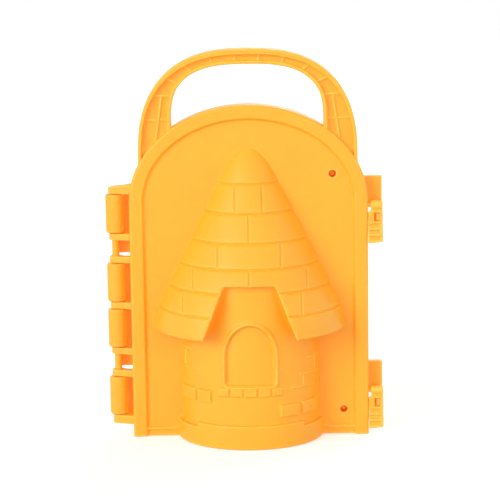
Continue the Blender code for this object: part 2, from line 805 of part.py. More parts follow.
def latch_lever(name, height):
    """Ribbed lever hanging from its cross pin, with a window over the rear stud."""
    left, right, bottom, top = window_box()
    pivot = -LEVER_PIVOT_DEPTH
    front = pivot - LEVER_THICKNESS
    plate_top = height - LEVER_BARREL_RADIUS - CLEARANCE
    foot = height - LEVER_LENGTH
    bend = height - LEVER_BEND
    outline = [
        (pivot, plate_top),
        (front, plate_top),
        (front, bend),
        (front - LEVER_FLARE, foot),
        (pivot - LEVER_FLARE, foot),
        (pivot, bend),
    ]
    lever = across(name + "_plate", outline, RIGHT_EDGE + CLEARANCE, CLASP_END)
    barrel_left = RIGHT_EDGE + LEVER_SLOT
    barrel = rod(name + "_barrel", LEVER_BARREL_RADIUS, *pin_line(height, barrel_left, CLASP_END))
    neck = block(
        name + "_neck",
        (barrel_left + CLEARANCE, pivot - LEVER_THICKNESS / 2, plate_top - CLEARANCE),
        (CLASP_END - CLEARANCE, pivot - CLEARANCE, height),
    )
    bore = rod(
        name + "_bore",
        LEVER_PIN_RADIUS + CLEARANCE,
        *pin_line(height, RIGHT_EDGE - OVERRUN, CLASP_END + OVERRUN),
    )
    window = block(
        name + "_window",
        (left, front - OVERRUN, height + bottom),
        (right, pivot + OVERRUN, height + top),
    )
    notch = block(
        name + "_notch",
        (RIGHT_EDGE, front - OVERRUN, height - NOTCH_DROP),
        (RIGHT_EDGE + NOTCH_WIDTH, pivot + OVERRUN, height),
    )
    lean = math.atan2(LEVER_FLARE, LEVER_LENGTH - LEVER_BEND)
    seat = Matrix.Translation((0, front, bend)) @ Matrix.Rotation(-lean, 4, "X")
    grooves = bmesh.new()
    for i in range(GRIP_GROOVES):
        under = LEVER_BEND - GRIP_GROOVE_TOP - i * GRIP_GROOVE_PITCH
        low = (RIGHT_EDGE, -OVERRUN, under - GRIP_GROOVE_WIDTH)
        high = (CLASP_END - LEVER_STRIP, GRIP_GROOVE_DEPTH, under)
        add_block(grooves, low, high, seat)
    join(lever, barrel, neck)
    cut(lever, bore, window, notch, from_bmesh(name + "_grooves", grooves))
    return as_part(lever, name, 0.42)


# The parts, put together

tower = tower_solid()
cavity = cavity_solid()
lug_spans, barrel_spans = hinge_layout()

rear = half_shell("rear_half", REAR, tower, cavity)
add_rear_knuckles(rear, barrel_spans)
for number, clasp_height in enumerate(CLASP_HEIGHTS):
    add_catch(rear, "catch_%d" % number, clasp_height)
pegs = bmesh.new()
for x, z in PEGS:
    root = (TOWER_X + x, PLATE_BACK + PLATE_WALL / 2, z)
    add_rod(pegs, PEG_RADIUS, (TOWER_X + x, -PEG_REACH, z), root)
join(rear, from_bmesh("pegs", pegs))
as_part(rear, "rear_shell", 0.45)

front = half_shell("front_half", FRONT, tower, cavity)
add_front_knuckles(front, lug_spans)
sockets = bmesh.new()
holes = bmesh.new()
for x, z in PEGS:
    start = (TOWER_X + x, -HALF_DEPTH - OVERRUN, z)
    root = (TOWER_X + x, -PLATE_BACK - PLATE_WALL / 2, z)
    add_rod(sockets, PEG_RADIUS + CLEARANCE + SOCKET_WALL, root, (TOWER_X + x, -2 * PARTING, z))
    add_rod(holes, PEG_RADIUS + CLEARANCE, start, (TOWER_X + x, 0.0, z))
join(front, from_bmesh("peg_sockets", sockets))
for clasp_height in CLASP_HEIGHTS:
    seat_start = RIGHT_EDGE - LEVER_PIN_SEAT - CLEARANCE
    seat_line = pin_line(clasp_height, seat_start, RIGHT_EDGE + OVERRUN)
    add_rod(holes, LEVER_PIN_RADIUS + CLEARANCE, *seat_line)
cut(front, from_bmesh("peg_and_pin_holes", holes))
as_part(front, "front_shell", 0.45)

hinge_pin(lug_spans)
front_axis = axis_empty("front_hinge_axis", HINGE_X, 0.0, 0.0)
hang_on(front, front_axis)
for place, clasp_height in zip(("upper", "lower"), CLASP_HEIGHTS):
    lever_axis = axis_empty(place + "_latch_axis", RIGHT_EDGE, -LEVER_PIVOT_DEPTH, clasp_height)
    hang_on(lever_axis, front_axis)
    hang_on(latch_lever(place + "_latch", clasp_height), lever_axis)
    cross_line = pin_line(clasp_height, RIGHT_EDGE - LEVER_PIN_SEAT, CLASP_END - CLEARANCE)
    cross_pin = rod(place + "_pin_rod", LEVER_PIN_RADIUS, *cross_line)
    hang_on(as_part(cross_pin, place + "_latch_pin", 0.40), front_axis)
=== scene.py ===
"""Looks of a hinged snow mould shaped as a small tower, moulded in yellow plastic."""

import math

import bmesh
import bpy
from mathutils import Matrix, Vector


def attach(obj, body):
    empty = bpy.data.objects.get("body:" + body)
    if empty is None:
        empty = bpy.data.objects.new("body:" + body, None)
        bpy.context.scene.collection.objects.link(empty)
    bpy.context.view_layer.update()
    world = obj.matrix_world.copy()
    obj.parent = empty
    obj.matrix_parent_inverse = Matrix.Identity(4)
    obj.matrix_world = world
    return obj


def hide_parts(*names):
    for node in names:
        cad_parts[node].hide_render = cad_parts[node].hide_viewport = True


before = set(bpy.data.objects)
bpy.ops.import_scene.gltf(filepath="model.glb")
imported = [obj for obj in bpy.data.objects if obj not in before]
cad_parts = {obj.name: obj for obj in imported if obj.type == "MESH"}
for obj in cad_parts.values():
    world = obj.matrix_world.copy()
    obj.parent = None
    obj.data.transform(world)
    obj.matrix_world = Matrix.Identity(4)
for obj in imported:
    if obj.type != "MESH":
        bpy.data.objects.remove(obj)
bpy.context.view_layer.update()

# Panel of each half: an arched plate with a raised band round its sides and its arch, moulded
# in yellow plastic. It is hollow behind, and its edges are softly rounded.
# Meshes are drawn in millimetres with the front towards -Y, and scaled at the end.
AXIS_X = 1.9
PANEL_REACH = 47.3
PANEL_TOP = 133.0
ARCH_RISE = 38.3
BAND = 5.5
ARCH_STEPS = 80
RIM_WALL = 2.0
# The walls start below the base, which is cut level at the end
BELOW = -1.0
# Each edge line: how far it is moved in from the outline, and its depth from the parting plane
PANEL_EDGE = [(0.0, -1.0), (0.0, 4.9), (0.08, 5.32), (0.32, 5.68), (0.68, 5.92), (1.1, 6.0)]
RECESS_EDGE = [(1.1, 4.5), (0.5, 4.6), (0.15, 4.85), (0.0, 5.2), (-0.08, 5.55), (-0.3, 5.83), (-0.65, 5.97)]
RECESS_EDGE += [(-1.1, 6.02), (-2.5, 7.0)]
POCKET_EDGE = [(0.0, -2.0), (0.0, 1.9), (0.2, 2.3), (0.7, 2.5)]
# Small rib along the foot, as depth and height, and how far it runs into the band
FOOT_RIB = [(4.0, 2.6), (5.1, 2.6), (5.4, 2.75), (5.55, 3.0), (5.55, 3.3), (5.4, 3.55)]
FOOT_RIB += [(5.1, 3.7), (4.0, 3.7)]
FOOT_RIB_OVERLAP = 0.8
# Points closer than this are welded, and edges shorter than that are dropped
WELD = 1e-4
SLIVER = 1e-5


def solid_from(name, shape):
    """Object made of a finished bmesh."""
    mesh = bpy.data.meshes.new(name)
    shape.to_mesh(mesh)
    shape.free()
    solid = bpy.data.objects.new(name, mesh)
    bpy.context.scene.collection.objects.link(solid)
    return solid


def loft(name, rings, closed=False):
    """Closed solid through rings of points, with its ends capped or joined to each other."""
    shape = bmesh.new()
    rows = [[shape.verts.new(point) for point in ring] for ring in rings]
    for low, high in zip(rows, rows[1:] + rows[:1] if closed else rows[1:]):
        for i in range(len(low)):
            shape.faces.new((low[i - 1], low[i], high[i], high[i - 1]))
    if not closed:
        shape.faces.new(rows[0])
        shape.faces.new(rows[-1])
    bmesh.ops.remove_doubles(shape, verts=shape.verts, dist=WELD)
    bmesh.ops.dissolve_degenerate(shape, dist=SLIVER, edges=shape.edges)
    bmesh.ops.recalc_face_normals(shape, faces=shape.faces)
    return solid_from(name, shape)


def carve(solid, *tools, operation="DIFFERENCE"):
    """Cuts tools out of a solid, or joins them to it, for good."""
    for tool in tools:
        change = solid.modifiers.new(tool.name, "BOOLEAN")
        change.operation = operation
        change.object = tool
    bpy.context.view_layer.update()
    graph = bpy.context.evaluated_depsgraph_get()
    carved = bpy.data.meshes.new_from_object(solid.evaluated_get(graph))
    solid.modifiers.clear()
    solid.data = carved
    for tool in tools:
        bpy.data.objects.remove(tool)
    return solid


def arch(inset, foot):
    """Panel outline moved in by inset, with straight sides down to the height foot."""
    reach = PANEL_REACH - inset
    spring = PANEL_TOP - ARCH_RISE
    line = [(AXIS_X + reach, foot)]
    for step in range(ARCH_STEPS + 1):
        angle = math.pi * step / ARCH_STEPS
        line.append((AXIS_X + reach * math.cos(angle), spring + (ARCH_RISE - inset) * math.sin(angle)))
    line.append((AXIS_X - reach, foot))
    return line


def facing(line, depth):
    """An (x, z) outline at a depth in front of the parting plane."""
    return [(x, -depth, z) for x, z in line]


panel = loft("panel", [facing(arch(inset, BELOW), depth) for inset, depth in PANEL_EDGE])
recess = loft("recess", [facing(arch(BAND + inset, 2 * BELOW), depth) for inset, depth in RECESS_EDGE])
pocket_rings = [facing(arch(RIM_WALL + inset, RIM_WALL + inset), depth) for inset, depth in POCKET_EDGE]
carve(panel, recess, loft("pocket", pocket_rings))
rib_reach = PANEL_REACH - BAND + FOOT_RIB_OVERLAP
rib_ends = [[(AXIS_X + end, -depth, z) for depth, z in FOOT_RIB] for end in (-rib_reach, rib_reach)]
foot_rib = loft("foot_rib", rib_ends)

# Carrying handle on top of each half, moulded in one with the panel: an arch made as an open
# channel that faces outwards, with a thick outer rim, a thin inner rim and thin ribs across.
# Its feet run into the arch of the panel.
HANDLE_FOOT = 94.7
BOW_STEPS = 96
# Each outline: its reach to each side, its top, the height where its curve springs, and its power
HANDLE_OUTER = (43.3, 155.0, 112.0, 2.55)
HANDLE_INNER = (30.2, 149.1, 126.0, 2.8)
CHANNEL_OUTER = (41.9, 152.8, 112.0, 2.55)
CHANNEL_INNER = (31.5, 150.4, 126.0, 2.8)
# Each edge line, as for the panel
HANDLE_EDGE = [(0.0, -1.4), (0.0, 5.0), (0.06, 5.3), (0.22, 5.52), (0.42, 5.65), (0.65, 5.7)]
OPENING_EDGE = [(0.0, -3.0), (0.0, 5.2), (-0.04, 5.42), (-0.14, 5.6), (-0.3, 5.69), (-0.6, 5.8), (-1.5, 7.0)]
CHANNEL_EDGE = [(0.6, 3.4), (0.25, 3.48), (0.0, 3.8), (0.0, 5.3), (-0.05, 5.5), (-0.18, 5.64), (-0.35, 5.72)]
CHANNEL_EDGE += [(-1.0, 7.0)]
INNER_RIM_EDGE = [(-0.6, 1.0), (-0.6, 3.4), (-0.25, 3.48), (0.0, 3.8), (0.0, 5.3), (0.05, 5.5), (0.18, 5.64)]
INNER_RIM_EDGE += [(0.3, 5.72), (0.5, 9.0)]
# Each rib of the crown: how far its inner and its outer end are from the tower's axis
CROWN_RIBS = [(4.6, 4.9), (13.6, 14.8), (21.4, 25.1), (26.7, 32.6)]
# Each rib across a leg: its height and how far it stands from the parting plane
LEG_RIBS = [(127.5, 3.8), (137.0, 4.2)]
LEG_SPINE = ((33.6, 137.0), (36.4, 118.0))
RIB_WIDTH = 0.9
RIB_DEPTH = 4.2
RIB_FOOT = 2.5
RIB_ROUND = 0.25
SHARP_ANGLE = 35
# How far ribs of the crown and of the legs keep inside the inner and the outer outline
CROWN_RIB_INSET = (0.7, 1.2)
LEG_RIB_INSET = (0.5, 0.7)
# Room for the panel's plate between the handle's legs, and depths past both faces of a half
PLATE_ROOM = (1.0, 80.0)
THROUGH = (-4.0, 9.0)


def bow(reach, top, spring, power, inset=0.0):
    """A superellipse arch over straight legs, moved in by inset."""
    reach -= inset
    top -= inset
    line = [(AXIS_X + reach, HANDLE_FOOT)]
    for step in range(BOW_STEPS + 1):
        angle = math.pi * step / BOW_STEPS
        across = math.copysign(abs(math.cos(angle)) ** (2 / power), math.cos(angle))
        line.append((AXIS_X + reach * across, spring + (top - spring) * abs(math.sin(angle)) ** (2 / power)))
    line.append((AXIS_X - reach, HANDLE_FOOT))
    return line


def bow_height(x, reach, top, spring, power):
    """Height of a bow at x."""
    return spring + (top - spring) * (1 - abs(x / reach) ** power) ** (1 / power)


def bow_reach(z, reach, top, spring, power):
    """Reach of a bow at height z."""
    return reach * (1 - max(0.0, (z - spring) / (top - spring)) ** power) ** (1 / power)


def soften(solid, radius, segments=3):
    """Rounds the sharp edges of a simple solid."""
    shape = bmesh.new()
    shape.from_mesh(solid.data)
    sharp = [e for e in shape.edges if e.calc_face_angle(0.0) > math.radians(SHARP_ANGLE)]
    bmesh.ops.bevel(
        shape, geom=sharp, offset=radius, segments=segments, profile=0.5, affect="EDGES", clamp_overlap=True
    )
    shape.to_mesh(solid.data)
    shape.free()
    return solid


def block(name, low, high, radius=0.0):
    """Box between two corners with rounded edges."""
    ends = []
    for x in (low[0], high[0]):
        ends.append([(x, low[1], low[2]), (x, high[1], low[2]), (x, high[1], high[2]), (x, low[1], high[2])])
    solid = loft(name, ends)
    return soften(solid, radius) if radius else solid


def channel_rib(name, start, end, depth=RIB_DEPTH):
    """Thin straight rib between two (x, z) points of the channel, rounded along its free edge."""
    run = math.dist(start, end)
    tilt = math.atan2(end[0] - start[0], end[1] - start[1])
    rib = block(name, (-RIB_WIDTH / 2, -depth, 0.0), (RIB_WIDTH / 2, -RIB_FOOT, run), RIB_ROUND)
    place = Matrix.Translation((AXIS_X + start[0], 0, start[1]))
    rib.data.transform(place @ Matrix.Rotation(tilt, 4, "Y"))
    return rib


handle = loft("handle", [facing(bow(*HANDLE_OUTER, inset), depth) for inset, depth in HANDLE_EDGE])
opening = loft("opening", [facing(bow(*HANDLE_INNER, inset), depth) for inset, depth in OPENING_EDGE])
channel = loft("channel", [facing(bow(*CHANNEL_OUTER, inset), depth) for inset, depth in CHANNEL_EDGE])
inner_rim = loft("inner_rim", [facing(bow(*CHANNEL_INNER, inset), depth) for inset, depth in INNER_RIM_EDGE])
carve(channel, inner_rim)
plate_room = loft("plate_room", [facing(arch(*PLATE_ROOM), depth) for depth in THROUGH])
carve(handle, opening, channel, plate_room)
handle_ribs = []
for way in (-1, 1):
    for near, far in CROWN_RIBS:
        low = bow_height(near, *HANDLE_INNER) + CROWN_RIB_INSET[0]
        high = bow_height(far, *HANDLE_OUTER) - CROWN_RIB_INSET[1]
        handle_ribs.append(channel_rib("crown_rib", (way * near, low), (way * far, high)))
    for z, depth in LEG_RIBS:
        near = bow_reach(z, *HANDLE_INNER) + LEG_RIB_INSET[0]
        far = bow_reach(z, *HANDLE_OUTER) - LEG_RIB_INSET[1]
        handle_ribs.append(channel_rib("leg_rib", (way * near, z), (way * far, z), depth))
    ends = [(way * x, z) for x, z in LEG_SPINE]
    handle_ribs.append(channel_rib("leg_spine", *ends))

# Roof of the tower: a cone of tile courses in relief, moulded in one with the panel. It has
# a rounded tip, a steeper skirt at the eave and a porch cut out of its front.
EAVE = 44.4
EAVE_RADIUS = 38.8
SKIRT_TOP_RADIUS = 36.6
# Heights of the tile courses from the eave up, and where their upright joints stand
COURSES = [9.1, 8.7, 8.9, 9.5, 11.0, 11.0]
COURSE_JOINTS = [[], [-26.0, 20.2], [-22.0, 0.0, 22.5], [-12.2, 12.4], [0.0], [-5.35, 5.35]]
ROOF_SLOPE = 0.485
TIP_CURVE = 5.2
TIP_STEPS = 12
# Groove between two courses: how far up from its middle, and how far out from the cone
GROOVE = [(-0.75, -0.02), (-0.5, -0.16), (-0.25, -0.55), (0.0, -0.76)]
GROOVE += [(0.25, -0.55), (0.5, -0.16), (0.75, -0.02)]
TILE_CROWN = 0.12
SKIRT_CROWN = 0.1
# Rounding of the eave's edge, out from the skirt and up from the eave, and of the hollow's eave
EAVE_EDGE = [(0.0, 1.5), (-0.02, 1.0), (-0.2, 0.5), (-0.55, 0.15), (-1.0, 0.0)]
HOLLOW_EAVE = 0.6
# Upright joints between tiles: round cuts that end short of the grooves
JOINT_RADIUS = 0.5
JOINT_SHORT = 0.15
JOINT_OUT = 0.1
JOINT_SIDES = 12
# Rounding of the porch's outer edge: how far it reaches from the edge, and how deep it is there
PORCH_ROUND = [(0.0, 1.15), (0.06, 0.78), (0.2, 0.45), (0.45, 0.18), (0.8, 0.03), (1.2, -0.03), (1.5, -0.7)]
# Left side of the porch's outline in the front view, and the step in which it is drawn
PORCH = [(-18.9, 42.4), (-18.1, 44.4), (-10.6, 63.2), (-9.8, 64.5), (-8.9, 64.8)]
PORCH_STEP = 1.2
PORCH_DEPTHS = (-9.0, EAVE_RADIUS + 4.0)
# Turned forms are swept a little past the half turn, in degrees and steps that differ, so that
# no two faces of them lie on each other
ROOF_SWEEP = (98.0, 98)

cone_lean = math.atan(ROOF_SLOPE)
cone_apex = EAVE + COURSES[0] + SKIRT_TOP_RADIUS / ROOF_SLOPE
course_lines = [EAVE + sum(COURSES[: i + 1]) for i in range(len(COURSES))]


def cone_radius(z, inset=0.0):
    """Radius of the cone at height z, moved in by inset."""
    return ROOF_SLOPE * (cone_apex - inset / math.sin(cone_lean) - z)


def skirt_radius(z, inset=0.0):
    """Radius of the skirt at height z, moved in by inset."""
    share = (z - EAVE) / COURSES[0]
    return EAVE_RADIUS + (SKIRT_TOP_RADIUS - EAVE_RADIUS) * share - inset


def roof_profile(inset, foot):
    """(radius, z) outline of the roof from its tip down to foot, moved in by inset."""
    tip_foot = TIP_CURVE / ROOF_SLOPE
    tip_top = cone_apex - tip_foot / ROOF_SLOPE / 2
    points = []
    for step in range(TIP_STEPS + 1):
        across = tip_foot * math.sin(math.pi / 2 * step / TIP_STEPS)
        steep = across / math.hypot(across, TIP_CURVE)
        away = inset * steep, inset * math.sqrt(1 - steep**2)
        points.append((across - away[0], tip_top - across**2 / TIP_CURVE / 2 - away[1]))
    for i in reversed(range(len(COURSES))):
        line = course_lines[i]
        for up, out in reversed(GROOVE):
            points.append((cone_radius(line + up, inset) + out, line + up))
        if i:
            for share in (0.75, 0.5, 0.25):
                z = line - COURSES[i] * (1 - share)
                crown = TILE_CROWN * (1 - (2 * share - 1) ** 2)
                points.append((cone_radius(z, inset) + crown, z))
    if inset:
        points.append((skirt_radius(foot + HOLLOW_EAVE, inset), foot + HOLLOW_EAVE))
        points.append((skirt_radius(foot, inset) - HOLLOW_EAVE, foot))
    else:
        for share in (0.6, 0.35):
            z = EAVE + COURSES[0] * share
            points.append((skirt_radius(z) + SKIRT_CROWN, z))
        points += [(skirt_radius(EAVE + up) + out, EAVE + up) for out, up in EAVE_EDGE]
    return points + [(0.0, foot)]


def sweep(name, profile, reach, steps):
    """Front part of a turned solid, swept through an angle of reach to each side."""
    rings = []
    for step in range(steps + 1):
        angle = math.radians(reach * (2 * step / steps - 1))
        rings.append([(AXIS_X + r * math.sin(angle), -r * math.cos(angle), z) for r, z in profile])
    return loft(name, rings)


def roof_radius(z):
    """Radius of the roof at height z, the skirt's below its top."""
    return cone_radius(z) if z > course_lines[0] else skirt_radius(max(z, EAVE))


def porch_line(grown):
    """Outline of the porch in short steps, moved out by grown."""
    corners = [Vector(point) for point in PORCH]
    corners += [Vector((-x, z)) for x, z in reversed(PORCH)]
    points = []
    for start, end in zip(corners, corners[1:] + corners[:1]):
        steps = max(1, round((end - start).length / PORCH_STEP))
        points += [start.lerp(end, i / steps) for i in range(steps)]
    line = []
    for before, point, after in zip(points[-1:] + points, points, points[1:] + points[:1]):
        along = (after - before).normalized()
        line.append((point.x - along.y * grown, point.y + along.x * grown))
    return line


def porch_ring(grown, layer):
    """Outline of the porch laid on the roof, sunk by layer."""
    ring = []
    for x, z in porch_line(grown):
        ring.append((AXIS_X + x, -math.sqrt((roof_radius(z) - layer) ** 2 - x * x), z))
    return ring


def porch_flat(grown, depth):
    """Outline of the porch, flat at a depth."""
    return facing([(AXIS_X + x, z) for x, z in porch_line(grown)], depth)


def rod(name, start, end, radius, sides=48, chamfer=0.0):
    """Round rod between two points, its ends chamfered."""
    start, end = Vector(start), Vector(end)
    along = (end - start).normalized()
    side = along.orthogonal().normalized()
    other = along.cross(side)
    stations = [(start, radius), (end, radius)]
    if chamfer:
        stations = [
            (start, radius - chamfer),
            (start + along * chamfer, radius),
            (end - along * chamfer, radius),
            (end, radius - chamfer),
        ]
    rings = []
    for centre, reach in stations:
        turns = [2 * math.pi * i / sides for i in range(sides)]
        rings.append([centre + reach * (side * math.cos(t) + other * math.sin(t)) for t in turns])
    return loft(name, rings)


# The joints are upright in the front view, because the mould opens to the front
joints = []
for course, places in enumerate(COURSE_JOINTS):
    for x in places:
        ends = []
        for z in (course_lines[course - 1] + JOINT_SHORT, course_lines[course] - JOINT_SHORT):
            ends.append((AXIS_X + x, -math.sqrt((cone_radius(z) + JOINT_OUT) ** 2 - x * x), z))
        joints.append(rod("joint", ends[0], ends[1], JOINT_RADIUS, JOINT_SIDES))
roof = sweep("roof", roof_profile(0.0, EAVE), *ROOF_SWEEP)
carve(roof, *joints)
porch_rings = [porch_flat(PORCH_ROUND[0][0], PORCH_DEPTHS[0])]
porch_rings += [porch_ring(*edge) for edge in PORCH_ROUND]
porch_rings.append(porch_flat(PORCH_ROUND[-1][0], PORCH_DEPTHS[1]))
carve(roof, loft("porch", porch_rings))

# Body of the tower: a plain round wall on a stepped plinth, moulded in one with the roof. It
# has an arched window recess in a thin raised frame, a sill of small blocks, and a few
# bricks and mortar lines in soft relief.
BODY_RADIUS = 27.9
BODY_TOP = 67.2
BODY_FOOT = 1.3 * BELOW
BODY_SWEEP = (96.5, 95)
PLINTH_RADIUS = 29.7
PLINTH_TOP = 9.5
PLINTH_STEP = 2.0
PLINTH_FRONT = 20.9
PLINTH_SWEEP = (97.5, 98)
PLINTH_EDGE = [(0.0, PLINTH_TOP), (29.0, PLINTH_TOP), (29.4, 9.4), (29.62, 9.15), (PLINTH_RADIUS, 8.7)]
PLINTH_EDGE += [(PLINTH_RADIUS, 0.9), (29.5, 0.35), (29.1, -0.05), (29.0, -1.5), (0.0, -1.5)]
# Cut that lowers the plinth at its sides: well outside it in x, y and z
LEDGE_CUT = (45.0, 40.0, 20.0)
# Window pane: half its width, and the heights of its sill, its spring and its top
PANE = (9.5, 25.3, 36.5, 49.0)
PANE_DEPTH = 1.1
PANE_CORNER = 1.2
# Depths of the pane's cut, and the heights and sweep of the round floor that it ends at
PANE_CUT = (10.0, 32.0)
PANE_FLOOR = (5.0, 60.0, 95.0, 95)
PANE_STEPS = 32
CORNER_STEPS = 6
# Each ridge: how far it reaches to its inner and outer side, and its height
FRAME_RIDGE = (1.1, 1.8, 0.85)
FRAME_OUT = 0.6
FRAME_DROP = PANE_DEPTH + 0.1
MORTAR_RIDGE = (0.6, 0.6, 0.42)
# How deep the foot and the edge of a ridge are sunk in the wall
RIDGE_FOOT = 1.6
RIDGE_SINK = 0.04
RIDGE_STEPS = 12
# Sill blocks: heights of foot and top, their ends in degrees from the front, and the gap left there
SILL = (20.8, 24.3)
SILL_ENDS = [-26.6, -16.75, -5.65, 5.65, 16.75, 26.6]
SILL_GAP = 0.45
# Each brick: its two ends in degrees from the front, and the height of its foot
BRICKS = [(-70.0, -49.0, 17.8), (-47.0, -33.0, 17.8), (23.6, 42.0, 12.2), (45.0, 64.0, 12.2)]
BRICK_HEIGHT = 5.1
# How far bricks and sill stand out, their rounding, and how deep their edge and foot are sunk
RELIEF = 1.2
SILL_RELIEF = 0.7
BRICK_ROUND = 0.5
BRICK_SINK = 0.06
BRICK_FOOT = 1.0
# Faint mortar lines, as pairs of angle from the front and height
MORTAR = [[(-72, 38.2), (-55.4, 37.9)], [(-66.5, 36.6), (-66.5, 31.0)], [(-64, 30.4), (-46.5, 30.5)]]
MORTAR += [[(53.2, 34.3), (74, 33.9)], [(64.7, 33.6), (64.7, 28.8)], [(44.2, 28.2), (72, 27.9)]]
MORTAR += [[(47.8, 27.7), (47.8, 23.8)], [(34.5, 23.3), (62.5, 22.8)]]
MORTAR_STEPS = 8


def wall_point(degrees, z, radius=BODY_RADIUS):
    """Point of the round wall at an angle from the front."""
    turn = math.radians(degrees)
    return Vector((AXIS_X + radius * math.sin(turn), -radius * math.cos(turn), z))


def pillow(name, start, end, low, high, relief):
    """Soft raised brick, a closed solid whose foot is sunk in the wall."""
    soft = BRICK_ROUND
    width = math.radians(end - start) * BODY_RADIUS
    tall = high - low
    edge = [soft * share for share in (0.0, 0.25, 0.5, 0.75, 1.0)]
    columns = edge + [width * share for share in (0.35, 0.65)] + [width - step for step in reversed(edge)]
    rows = edge + [tall / 2] + [tall - step for step in reversed(edge)]
    shape = bmesh.new()
    grid = []
    for up in rows:
        line = []
        for along in columns:
            inside = min(1.0, along / soft, (width - along) / soft)
            above = min(1.0, up / soft, (tall - up) / soft)
            lift = math.sin(math.pi / 2 * inside) * math.sin(math.pi / 2 * above)
            place = (start + (end - start) * along / width, low + up)
            radius = BODY_RADIUS - BRICK_SINK + (relief + BRICK_SINK) * lift
            line.append(shape.verts.new(wall_point(*place, radius)))
        grid.append(line)
    front = []
    for lower, upper in zip(grid, grid[1:]):
        for i in range(len(lower) - 1):
            front.append(shape.faces.new((lower[i], lower[i + 1], upper[i + 1], upper[i])))
    back = bmesh.ops.extrude_face_region(shape, geom=front)["geom"]
    for vert in (part for part in back if isinstance(part, bmesh.types.BMVert)):
        aside = Vector((vert.co.x - AXIS_X, vert.co.y))
        aside *= (BODY_RADIUS - BRICK_FOOT) / aside.length
        vert.co.x, vert.co.y = AXIS_X + aside.x, aside.y
    bmesh.ops.recalc_face_normals(shape, faces=shape.faces)
    return solid_from(name, shape)


def ridge(name, path, inner, outer, height, closed, drop=RIDGE_SINK):
    """Soft ridge along a line of (angle, z) points, sunk in the wall; its inner side falls to drop."""
    section = [(-inner, -RIDGE_FOOT)]
    for step in range(RIDGE_STEPS + 1):
        share = step / (RIDGE_STEPS / 2) - 1
        foot = drop if share < 0 else RIDGE_SINK
        reach = inner if share < 0 else outer
        section.append((reach * share, (height + foot) * (1 + math.cos(math.pi * share)) / 2 - foot))
    section.append((outer, -RIDGE_FOOT))
    count = len(path)
    rings = []
    for i, (degrees, z) in enumerate(path):
        before = path[i - 1] if closed or i else path[i]
        after = path[(i + 1) % count] if closed or i < count - 1 else path[i]
        along = (wall_point(*after) - wall_point(*before)).normalized()
        outward = Vector((math.sin(math.radians(degrees)), -math.cos(math.radians(degrees)), 0.0))
        aside = along.cross(outward).normalized()
        rings.append([wall_point(degrees, z) + aside * a + outward * o for a, o in section])
    return loft(name, rings, closed)


def window_line(grown):
    """Arched (x, z) outline of the window with round lower corners, moved out by grown."""
    reach, sill, spring, top = PANE
    reach, sill, top = reach + grown, sill - grown, top + grown
    line = []
    for step in range(PANE_STEPS + 1):
        angle = math.pi * step / PANE_STEPS
        line.append((reach * math.cos(angle), spring + (top - spring) * math.sin(angle)))
    corner = PANE_CORNER + grown
    straight = spring - sill - corner
    side = [(reach, sill + corner + straight * share) for share in (0.75, 0.5, 0.25)]
    for step in range(CORNER_STEPS + 1):
        turn = math.pi / 2 * step / CORNER_STEPS
        side.append((reach - corner * (1 - math.cos(turn)), sill + corner * (1 - math.sin(turn))))
    side += [((reach - corner) * share, sill) for share in (0.6, 0.3)]
    return line + [(-x, z) for x, z in side] + [(0.0, sill)] + side[::-1]


def drum(name, radius, low, high, reach, steps):
    """Front part of a plain round solid."""
    return sweep(name, [(0.0, high), (radius, high), (radius, low), (0.0, low)], reach, steps)


body = drum("body", BODY_RADIUS, BODY_FOOT, BODY_TOP, *BODY_SWEEP)
pane_line = [(AXIS_X + x, z) for x, z in window_line(0.0)]
pane = loft("pane", [facing(pane_line, depth) for depth in PANE_CUT])
carve(pane, drum("pane_floor", BODY_RADIUS - PANE_DEPTH, *PANE_FLOOR))
carve(body, pane)
plinth = sweep("plinth", PLINTH_EDGE, *PLINTH_SWEEP)
for way in (-1, 1):
    outer = AXIS_X + way * LEDGE_CUT[0]
    inner = AXIS_X + way * PLINTH_FRONT
    low = (min(outer, inner), -LEDGE_CUT[1], PLINTH_TOP - PLINTH_STEP)
    carve(plinth, block("ledge", low, (max(outer, inner), LEDGE_CUT[1], LEDGE_CUT[2])))
tower = carve(roof, body, plinth, operation="UNION")
frame_path = [(math.degrees(math.asin(x / BODY_RADIUS)), z) for x, z in window_line(FRAME_OUT)]
relief = [ridge("window_frame", frame_path, *FRAME_RIDGE, True, FRAME_DROP)]
for i, (start, end) in enumerate(zip(SILL_ENDS, SILL_ENDS[1:])):
    relief.append(pillow("sill_%d" % i, start + SILL_GAP, end - SILL_GAP, *SILL, SILL_RELIEF))
for i, (start, end, low) in enumerate(BRICKS):
    relief.append(pillow("brick_%d" % i, start, end, low, low + BRICK_HEIGHT, RELIEF))
for i, ends in enumerate(MORTAR):
    path = []
    for step in range(MORTAR_STEPS + 1):
        path.append(tuple(a + (b - a) * step / MORTAR_STEPS for a, b in zip(*ends)))
    relief.append(ridge("mortar_%d" % i, path, *MORTAR_RIDGE, False))

# Hollow of the tower, which shapes the snow: it follows the roof and the wall at an even
# wall thickness and is open at the base. Panel, handle, roof and body then become one half,
# cut level at the base and flat at the parting plane, and the rear half mirrors it.
WALL = 2.0
HOLLOW_SWEEP = (97.2, 90)
BORE_ENDS = (-3.0, BODY_TOP + 1.0)
BORE_SWEEP = (95.5, 91)
PARTING = 0.15
# A space well past the part to each side, below and above it
SPACE = (90.0, -9.0, 170.0)

